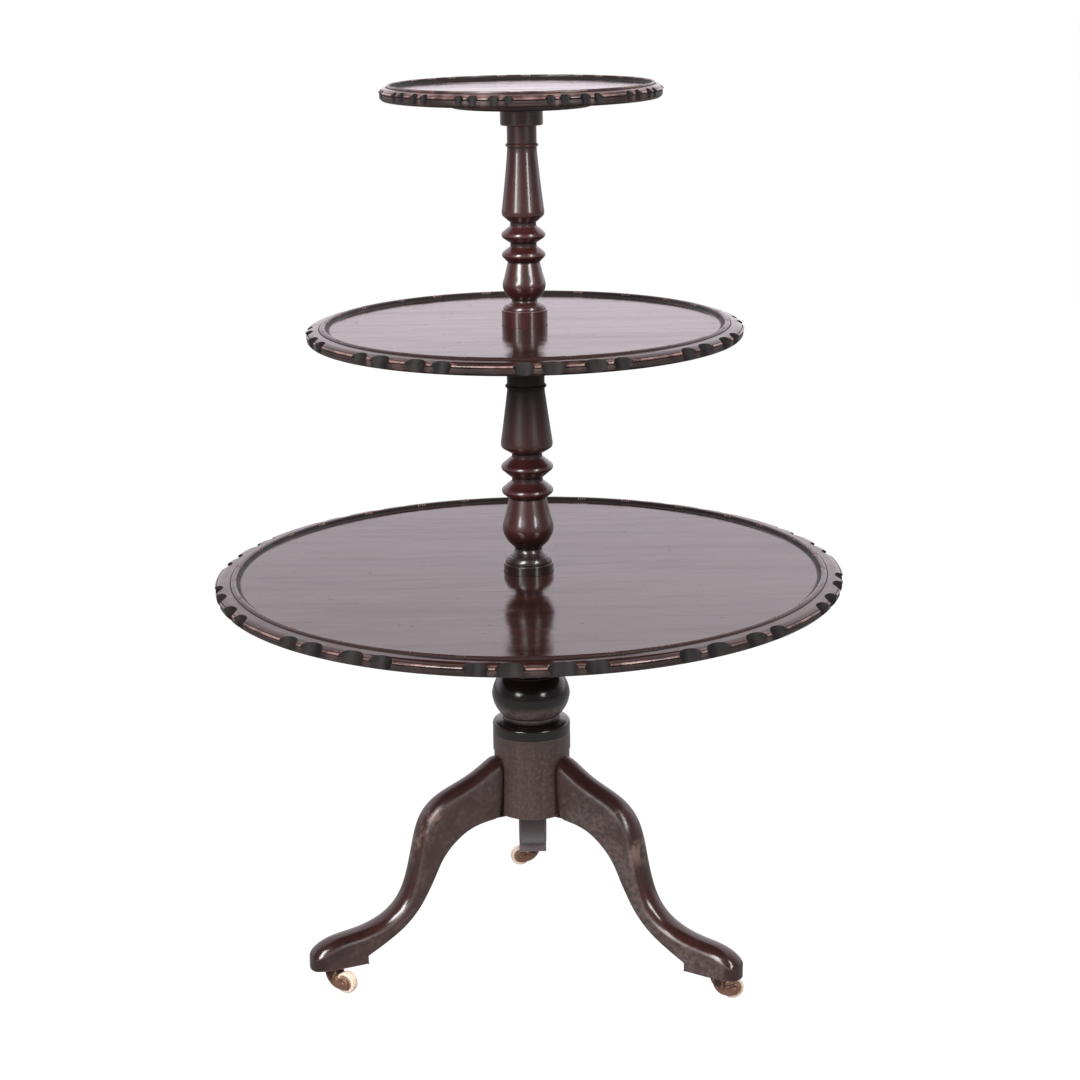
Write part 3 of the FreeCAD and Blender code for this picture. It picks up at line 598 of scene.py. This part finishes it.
class Finish:
    """A material, or the studio's surroundings, built up node by node."""

    def __init__(self, name, owner=None, facing=0.0):
        self.owner, self.facing = owner or bpy.data.materials.new(name), facing
        self.owner.use_nodes = True
        self.tree = self.owner.node_tree
        self.tree.nodes.clear()

    def node(self, kind, settings=None, values=None, out=0):
        """Add a node: its settings first, then the values or links of its sockets."""
        added = self.tree.nodes.new(kind)
        for name, value in (settings or {}).items():
            if name == "stops":
                ramp = added.color_ramp
                while len(ramp.elements) < len(value):
                    ramp.elements.new(1.0)
                for element, (position, colour) in zip(ramp.elements, value):
                    element.position = position
                    element.color = (*colour, 1.0)
            else:
                setattr(added, name, value)
        for name, value in (values or {}).items():
            socket = added.inputs[name]
            if isinstance(value, Tone):
                self.tree.links.new(value.socket, socket)
            elif isinstance(value, tuple) and socket.type == "RGBA":
                socket.default_value = (*value, 1.0)
            else:
                socket.default_value = value
        if isinstance(out, tuple):
            return [Tone(self, added.outputs[name]) for name in out]
        return Tone(self, added.outputs[out])

    def math(self, operation, *terms):
        return self.node("ShaderNodeMath", {"operation": operation}, dict(enumerate(terms)))

    def here(self):
        """The piece's own coordinates."""
        return self.node("ShaderNodeTexCoord", out="Object")

    def place(self, turn=(0, 0, 0), stretch=(1, 1, 1)):
        """The piece's own coordinates, turned to the grain and stretched along it."""
        here = self.here()
        if self.facing:
            here = self.node("ShaderNodeMapping", {}, {"Vector": here, "Rotation": (0, 0, self.facing)})
        if turn != (0, 0, 0):
            here = self.node("ShaderNodeMapping", {}, {"Vector": here, "Rotation": turn})
        return self.node("ShaderNodeMapping", {}, {"Vector": here, "Scale": stretch})

    def parts(self, place):
        return self.node("ShaderNodeSeparateXYZ", {}, {0: place}, out=("X", "Y", "Z"))

    def where(self):
        """Distance from the column's axis and height, both in mm."""
        x, y, z = self.parts(self.here())
        return (x * x + y * y) ** 0.5 * 1000.0, z * 1000.0

    def noise(self, place, detail=3.0, rough=0.6, twist=0.0):
        return self.node("ShaderNodeTexNoise", {}, {"Vector": place, "Scale": 1.0, "Detail": detail,
                                                    "Roughness": rough, "Distortion": twist})

    def clouds(self, scale, detail=3.0, rough=0.6):
        """Noise with patches as long as they are wide."""
        return self.noise(self.place(stretch=(scale, scale, scale)), detail, rough)

    def span(self, value, low, high, start=0.0, end=1.0):
        """Ease from start to end as the value goes from low to high."""
        return self.node("ShaderNodeMapRange", {"interpolation_type": "SMOOTHSTEP"},
                         {0: value, 1: low, 2: high, 3: start, 4: end})

    def ramp(self, value, *stops):
        return self.node("ShaderNodeValToRGB", {"stops": stops}, {0: value})

    def mix(self, share, first, second):
        return self.node("ShaderNodeMix", {"data_type": "RGBA"}, {0: share, 6: first, 7: second}, out=2)

    def bump(self, height, strength, distance, under=None):
        values = {"Height": height, "Strength": strength, "Distance": distance}
        if under:
            values["Normal"] = under
        return self.node("ShaderNodeBump", {}, values)

    def bend(self):
        return self.node("ShaderNodeAttribute", {"attribute_name": "bend"}, out="Fac")

    def polished(self, **values):
        return self.node("ShaderNodeBsdfPrincipled", {},
                         {name.replace("_", " "): value for name, value in values.items()})

    def blend(self, share, first, second):
        return self.node("ShaderNodeMixShader", {}, {0: share, 1: first, 2: second})

    def done(self, surface, output="ShaderNodeOutputMaterial"):
        self.node(output, {}, {"Surface": surface}, out=())
        return self.owner


UPRIGHT = (0, math.pi / 2, 0)                     # grain along the column
PORE_COLOUR, PORES = (0.006, 0.003, 0.003), 0.25
RUBBED_COLOUR = (0.20, 0.11, 0.09)


class Mahogany(Finish):
    """Old polished mahogany with its grain along the piece's turned X axis."""

    def __init__(self, name, dark, light, rough, wear=0.0, turn=(0, 0, 0), worn_along=0.0, facing=0.0):
        super().__init__(name, facing=facing)
        figure = self.noise(self.place(turn, (3.0, 34.0, 34.0)), 4.0, 0.55, 0.6)
        streak = self.noise(self.place(turn, (9.0, 240.0, 240.0)), 3.0, 0.6, 0.2)
        pore = self.noise(self.place(turn, (70.0, 1500.0, 1500.0)), 2.0, 0.5)
        self.cloud = self.clouds(14.0)
        between = tuple((a + b) / 2 for a, b in zip(dark, light))
        colour = self.ramp(figure * 0.6 + streak * 0.4, (0.30, dark), (0.52, between), (0.72, light))
        colour = self.mix(self.span(pore, 0.56, 0.66) * PORES, colour, PORE_COLOUR)
        self.bends = self.bend()
        rubbed = self.span(self.bends + (self.cloud - 0.5) * 0.5, 0.30, 0.85) * wear
        self.colour = self.mix(rubbed, colour, RUBBED_COLOUR)
        self.roughness = rough + (self.cloud - 0.5) * 0.10 + rubbed * 0.15
        if worn_along:
            lines = self.noise(self.place(turn, (4.0, 60.0, 60.0)), 5.0, 0.65, 0.4)
            self.roughness += self.span(lines, 0.45, 0.75) * worn_along
        self.normal = self.bump(streak * 0.6 + pore * 0.4, 0.12, 0.0004, self.bump(self.cloud, 0.10, 0.004))

    def tint(self, share, colour):
        self.colour = self.mix(share, self.colour, colour)

    def polish(self, **more):
        return self.polished(Base_Color=self.colour, Roughness=self.roughness, Normal=self.normal, **more)

    def under_dirt_and_shade(self, dirt_and_shade_share, **more):
        """The polish with a dark dull layer over a share of it: old wax and dirt, and painted shade where
        the share stands for it.
        """
        # dark dull layer: old wax and dirt, and also painted shade in creases and under the trays
        dark_wax_and_shade = self.polished(Base_Color=(0.007, 0.005, 0.005), Roughness=0.62, Specular_IOR_Level=0.25)
        return self.done(self.blend(dirt_and_shade_share, self.polish(**more), dark_wax_and_shade))

    def corners(self):
        """Where the surface bends in: dirt that collects there, and painted shade in the crease."""
        return self.span(self.bends, -0.15, -0.7)


def column_finish():
    """Glossy, blacker at the foot, with painted shadow of the middle tray where the column rises to it,
    which darkens it and dulls its coat.
    """
    f = Mahogany("column_mahogany", dark=(0.013, 0.0036, 0.0034), light=(0.046, 0.0092, 0.0088),
                 rough=0.20, wear=0.2, turn=UPRIGHT)
    f.roughness += 0.14
    _, height = f.where()
    # painted shadow of the middle tray: darker towards the top of the lower column's barrel
    painted_tray_shadow = f.span(height, 555.0, 630.0) * f.span(height, 656.0, 655.0)
    f.tint(f.span(height, 470.0, 445.0) * 0.8, (0.004, 0.002, 0.0022))
    # dirt and painted shade in the creases, and the painted tray shadow, which also takes most of the
    # coat's reflection away
    return f.under_dirt_and_shade(f.corners() * 0.6 + painted_tray_shadow * 0.9, Coat_Roughness=0.08, Specular_IOR_Level=0.36,
                         Coat_Weight=(0.40 + f.cloud * 0.3) * (1.0 - painted_tray_shadow * 0.9))


def pedestal_finish():
    """Nearly black with old polish, with a pale band under the ball: dry, dusty polish and a painted
    reflection of the floor.
    """
    f = Mahogany("pedestal_mahogany", dark=(0.005, 0.0030, 0.0034), light=(0.015, 0.0072, 0.0072),
                 rough=0.16, wear=0.25, turn=UPRIGHT)
    _, height = f.where()
    # pale band: dry, dusty polish and a painted reflection of the floor
    dry_and_painted_light = f.span(height + (f.cloud - 0.5) * 14.0, 285.0, 275.0) * f.span(height, 262.0, 266.0)
    f.tint(dry_and_painted_light * 0.95, f.ramp(f.clouds(160.0, 4.0, 0.65), (0.35, (0.045, 0.032, 0.030)),
                              (0.65, (0.145, 0.105, 0.096))))
    f.roughness += dry_and_painted_light * 0.25
    # dirt and painted shade in the creases
    return f.under_dirt_and_shade(f.corners() * 0.85)


def block_finish():
    """The pedestal block is duller than the turnings, and speckled."""
    f = Mahogany("block_mahogany", dark=(0.034, 0.021, 0.019), light=(0.085, 0.052, 0.046),
                 rough=0.38, wear=0.3, turn=UPRIGHT)
    f.tint(f.span(f.clouds(300.0, 4.0, 0.65), 0.45, 0.70) * 0.5, (0.13, 0.085, 0.075))
    f.tint(f.span(f.cloud, 0.45, 0.65) * 0.45, (0.05, 0.034, 0.030))
    # dirt and painted shade in the creases
    return f.under_dirt_and_shade(f.corners() * 0.8)


def leg_finish(side, degrees, dry_and_painted_light, painted_floor_reflection):
    """Polished along the ridge and the foot, dry and speckled on the flat sides, with painted light in the
    right leg's dry tint and a painted reflection of the floor inside the rear foot.
    """
    f = Mahogany(side + "_leg_mahogany", dark=(0.011, 0.0045, 0.0043), light=(0.046, 0.0175, 0.0145),
                 rough=0.17, wear=0.45, turn=(0, math.radians(-38), 0), facing=math.radians(90.0 - degrees))
    radius, height = f.where()
    _, across, _ = f.parts(f.place())
    flat = f.span((across * across) ** 0.5, 0.0128, 0.0148)
    speck, patch = f.clouds(210.0, 4.0, 0.7), f.clouds(42.0)
    # dry, speckled sides; on the right leg the larger share also stands for painted light on its side
    f.tint(flat * (0.35 + f.span(patch, 0.35, 0.6) * 0.65) * dry_and_painted_light,
           f.ramp(speck, (0.38, (0.038, 0.027, 0.025)), (0.66, (0.105, 0.074, 0.068))))
    knee = (f.span(radius + height * 0.55, 202.0, 213.0) * f.span(height, 118.0, 140.0)
            * f.span(height, 200.0, 184.0))
    scuff = knee * f.span(patch + (speck - 0.5) * 0.4, 0.50, 0.66)
    f.tint(scuff * 0.55, (0.19, 0.115, 0.095))
    f.roughness += flat * 0.22 + f.span(height, 75.0, 140.0) * 0.11 + scuff * 0.15
    # painted reflection of the pale floor on the inside of the foot
    if painted_floor_reflection:
        inner = f.span(radius + height * 1.35, 268.0, 248.0) * f.span(height, 105.0, 40.0)
        f.tint(inner * painted_floor_reflection, (0.20, 0.165, 0.185))
        f.roughness += inner * 0.2
    return f.under_dirt_and_shade(f.span(radius, BLOCK_R + 1.4, BLOCK_R + 0.3) * 0.9)


def tray_finish(tier, z, radius, rim, repeats, phase, **rest):
    """Glossy dished board, darker lip, rubbed edge, a dull band and underside below, and painted shade with
    dirt along the foot of the lip and in the creases.
    """
    f = Mahogany(tier + "_tray_mahogany", dark=(0.009, 0.0035, 0.003), light=(0.036, 0.013, 0.010),
                 rough=0.09, worn_along=0.35 * 0.3)
    away, height = f.where()
    x, y, _ = f.parts(f.here())
    angle = f.math("ARCTAN2", x, 0.0 - y)
    half_repeat = math.pi / repeats
    lobe = f.math("PINGPONG", angle - math.radians(phase), half_repeat) * (1 / half_repeat)
    dish, slim = radius - rim, slimness(rim)
    lip = f.span(height, z + 2.3, z + 3.0)
    under = f.span(height, z - 10.2, z - 10.9)
    low_band = f.span(height, z - 2.6, z - 3.3) * (1.0 - under)
    nose = f.span(away, radius - 3.0, radius - 1.6) * f.span(height, z - 3.2, z - 2.6)
    arris = f.span(f.bends, 0.12, 0.5) * f.span(away, radius - 10.0, radius - 7.0)
    patchy = f.span(f.clouds(45.0), 0.42, 0.62)
    rubbed = (nose * 0.35 + arris * 0.7) * (0.15 + patchy * 0.85)
    f.tint(lip * 0.8, (0.018, 0.006, 0.0055))
    f.tint(rubbed, (0.21, 0.12, 0.105))
    f.tint(low_band * 0.7, (0.017, 0.0078, 0.0072))
    f.tint(under * 0.7, (0.048, 0.021, 0.014))
    ridge = f.span(lobe, 0.355, 0.385) * f.span(lobe, 0.45, 0.42) * 0.7 + f.span(lobe, 0.09, 0.04) * 0.35
    ridge = ridge * f.span(away, radius - 6.0, radius - 2.5) * (0.3 + patchy * 0.7) * (1.0 - under)
    f.tint(ridge, (0.16, 0.095, 0.082))
    f.roughness += low_band * 0.2 + rubbed * 0.15 + lip * 0.12 + under * 0.35 + ridge * 0.2
    # painted shade and dark reflection along the foot of the lip, with dirt in the corner
    foot = (f.span(away, dish - 4.8 * slim, dish - 2.8 * slim) * f.span(away, dish + 1.6, dish + 0.6)
            * f.span(height, z + 3.7, z + 2.5) * (1.0 - under))
    # the stronger of the lip's painted shade and the creases' dirt and painted shade
    corner_dirt_and_shade = f.math("MAXIMUM", foot * 0.9, f.span(f.bends, -0.12, -0.5))
    smears = f.noise(f.place(stretch=(3.5, 42.0, 42.0)), 5.0, 0.62, 0.5)
    specks = f.span(f.clouds(150.0, 1.0, 0.5), 0.735, 0.765)
    return f.under_dirt_and_shade(corner_dirt_and_shade + f.span(smears, 0.44, 0.68) * 0.12 + specks * 0.4 + low_band * 0.45)


def bearer_finish():
    f = Mahogany("bearer_mahogany", dark=(0.014, 0.006, 0.005), light=(0.05, 0.018, 0.014), rough=0.35)
    return f.done(f.polish())


def carved_finish():
    """Inside the gouged hollows: dull and nearly black with old wax."""
    f = Finish("carved_mahogany")
    cloud = f.clouds(60.0, 4.0)
    colour = f.ramp(cloud, (0.35, (0.004, 0.003, 0.0033)), (0.65, (0.013, 0.0095, 0.0098)))
    return f.done(f.polished(Base_Color=colour, Roughness=0.50 + cloud * 0.2,
                             Specular_IOR_Level=0.15, Normal=f.bump(cloud, 0.3, 0.001)))


def worn_finish():
    """Pale bare wood in the nicks of the lips."""
    f = Finish("worn_mahogany")
    cloud = f.clouds(300.0, 2.0)
    colour = f.ramp(cloud, (0.40, (0.06, 0.035, 0.03)), (0.60, (0.30, 0.19, 0.16)))
    return f.done(f.polished(Base_Color=colour, Roughness=0.45 + cloud * 0.1))


def brass_finish():
    """Brown with age, and rubbed brighter where it stands out."""
    f = Finish("castor_brass")
    cloud = f.clouds(180.0, 4.0)
    rubbed = f.span(f.bend() + (cloud - 0.5), 0.25, 0.9)
    aged = f.ramp(cloud, (0.3, (0.026, 0.012, 0.010)), (0.7, (0.070, 0.034, 0.027)))
    return f.done(f.polished(Base_Color=f.mix(rubbed, aged, (0.22, 0.12, 0.08)),
                             Metallic=0.25 + rubbed * 0.4, Roughness=0.5 - rubbed * 0.15,
                             Normal=f.bump(cloud, 0.25, 0.0006)))


def ceramic_finish():
    """Cream glaze, stained brown in its grooves."""
    f = Finish("castor_ceramic")
    cloud = f.clouds(220.0)
    glaze = f.ramp(cloud, (0.35, (0.66, 0.50, 0.38)), (0.7, (0.86, 0.73, 0.60)))
    stain = f.span(f.bend(), -0.1, -0.6) * 0.75
    return f.done(f.polished(Base_Color=f.mix(stain, glaze, (0.22, 0.12, 0.07)),
                             Roughness=0.22 + cloud * 0.1, Normal=f.bump(cloud, 0.05, 0.0005)))


def metal_finish(name, dark, light, metallic, rough):
    """Dull old iron or steel, spotted with rust."""
    f = Finish(name)
    cloud = f.clouds(90.0, 5.0, 0.65)
    rust = f.span(f.clouds(260.0, 4.0, 0.7), 0.55, 0.72)
    colour = f.mix(rust * 0.7, f.ramp(cloud, (0.3, dark), (0.7, light)), (0.075, 0.030, 0.014))
    return f.done(f.polished(Base_Color=colour, Metallic=metallic - rust * 0.5,
                             Roughness=rough + rust * 0.3, Normal=f.bump(cloud, 0.3, 0.0006)))


# ---- studio (sizes in metres) -----------------------------------------------------------
def camera():
    pitch, roll = math.radians(14.89), math.radians(-0.87)
    ahead = Vector((0, math.cos(pitch), -math.sin(pitch)))
    up = Vector((0, math.sin(pitch), math.cos(pitch)))
    right = Vector((1, 0, 0))
    tilted_right = right * math.cos(roll) + up * math.sin(roll)
    tilted_up = up * math.cos(roll) - right * math.sin(roll)
    data = bpy.data.cameras.new("camera")
    data.lens = 75.77
    data.sensor_width = 36.0
    obj = bpy.data.objects.new("camera", data)
    scene.collection.objects.link(obj)
    turn = Matrix((tilted_right, tilted_up, -ahead)).transposed().to_4x4()
    obj.matrix_world = Matrix.Translation((0.0119, -2.254, 1.0515)) @ turn
    scene.camera = obj


# Name, direction, height, width, tallness and strength of each softbox.
SOFTBOXES = (
    ("left_softbox", -30, 2.1, 0.8, 1.7, 26.0), ("right_softbox", 46, 2.1, 0.5, 1.7, 20.0),
    ("left_low_softbox", -40, 1.25, 0.5, 0.6, 17.0), ("right_low_softbox", 37, 1.25, 0.4, 0.6, 17.0))
SOFTBOX_AWAY, SOFTBOX_AIM = 2.4, Vector((0, 0, 0.5))


def softbox(name, degrees, height, width, tall, strength):
    data = bpy.data.lights.new(name, "AREA")
    data.shape = "RECTANGLE"
    data.size, data.size_y = width, tall
    data.energy = strength * math.pi * width * tall
    obj = bpy.data.objects.new(name, data)
    scene.collection.objects.link(obj)
    angle = math.radians(degrees)
    place = Vector((SOFTBOX_AWAY * math.sin(angle), -SOFTBOX_AWAY * math.cos(angle), height))
    turn = (SOFTBOX_AIM - place).to_track_quat("-Z", "Y").to_matrix().to_4x4()
    obj.matrix_world = Matrix.Translation(place) @ turn
    obj.visible_camera = False


def surroundings():
    """White walls, brightest behind the table and dimmer behind the camera."""
    scene.world = bpy.data.worlds.new("studio")
    f = Finish("studio", scene.world)
    x, y, _ = f.parts(f.node("ShaderNodeTexCoord", out="Generated"))
    behind = f.span(y, 0.0, 0.6)
    level = 0.32 + behind * (0.98 + f.span(x, -0.5, 0.5, -0.16, 0.16))
    tint = f.mix(behind, (1.0, 0.80, 0.86), (1.0, 0.915, 0.985))
    walls = f.node("ShaderNodeBackground", {}, {"Color": tint, "Strength": level})
    plain_wall = f.node("ShaderNodeBackground", {}, {"Color": (1.0, 1.0, 1.0), "Strength": 1.0})
    seen = f.node("ShaderNodeLightPath", out="Is Camera Ray")
    f.done(f.blend(seen, walls, plain_wall), "ShaderNodeOutputWorld")


def floor():
    """White paper that glows a little more to the camera than it lights the table."""
    obj = settle(begin(ops.primitive_plane_add, size=60.0, location=(0, 0, -0.0006)), "floor")
    f = Finish("floor_paper")
    paper = f.node("ShaderNodeBsdfDiffuse", {}, {"Color": (0.9, 0.9, 0.9)})
    seen = f.node("ShaderNodeLightPath", out="Is Camera Ray")
    glow = f.node("ShaderNodeEmission", {}, {"Color": (1.0, 1.0, 1.0), "Strength": 0.40 + seen * 0.66})
    coat(obj, f.done(f.blend(0.9, paper, glow)))


camera()
scene.view_settings.view_transform = "Standard"
for box in SOFTBOXES:
    softbox(*box)
surroundings()
floor()

# ---- the table --------------------------------------------------------------------------
carved_wood, worn_wood = carved_finish(), worn_finish()
brass, ceramic, bearer_wood = brass_finish(), ceramic_finish(), bearer_finish()
steel = metal_finish("dull_steel", (0.05, 0.045, 0.04), (0.16, 0.14, 0.125), 0.8, 0.42)
iron = metal_finish("black_iron", (0.018, 0.016, 0.015), (0.045, 0.040, 0.037), 0.5, 0.55)

# Finishes of the nodes that show as they are: the first part of a name that fits counts.
KEPT = (("bearer_screws", steel), ("bearer", bearer_wood), ("castor_plate_screws", steel),
        ("brace_screws", steel), ("brace_plate", iron), ("castor_pivot", steel),
        ("castor_wheel", ceramic), ("castor_", brass))
for name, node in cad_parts.items():
    for part, material in KEPT:
        if part in name:
            coat(node, material)
            break


def show(piece, body, node, material=None):
    """Put a piece on its body, in place of the CAD node that it stands for."""
    mark_bends(piece)
    if material:
        coat(piece, material)
    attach(piece, body)
    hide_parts(node)


for tier, sizes in TIERS.items():
    board = tray(tier, tray_finish(tier, **sizes), **sizes)
    show(board, tier + "_tier", tier + "_tray")

column_wood = column_finish()
show(column_section("lower_baluster", 419.7, MIDDLE_REST, LOWER_BALUSTER, -0.1, SOCKET_R,
                    MIDDLE_REST - SOCKET_DEEP),
     "base", "lower_column", column_wood)
show(column_section("upper_baluster", 674.7, UPPER_REST, UPPER_BALUSTER, -0.35, TOP_SPINDLE_R,
                    UPPER_REST + TOP_SPINDLE_LONG),
     "base", "upper_column", column_wood)
show(pedestal_ball(), "base", "pedestal_turning", pedestal_finish())
show(pedestal_drum(), "base", "pedestal_block", block_finish())

first_leg = leg()
for (side, degrees), (dry_and_painted_light, painted_floor_reflection) in zip(LEG_ANGLES.items(), LEG_WEAR_AND_LIGHT):
    piece = turned_to(duplicate(first_leg, side + "_cabriole_leg"), degrees - 90.0)
    show(piece, "base", "leg_" + side, leg_finish(side, degrees, dry_and_painted_light, painted_floor_reflection))
bpy.data.objects.remove(first_leg)

horns, wheel = castor_horns(), castor_wheel()
for side in LEG_ANGLES:
    show(at_foot(horns, side, side + "_castor_horns"), "castor_swivel_" + side,
         "castor_horns_" + side, brass)
    show(at_foot(wheel, side, side + "_castor_wheel"), "castor_roller_" + side,
         "castor_wheel_" + side, ceramic)
bpy.data.objects.remove(horns)
bpy.data.objects.remove(wheel)
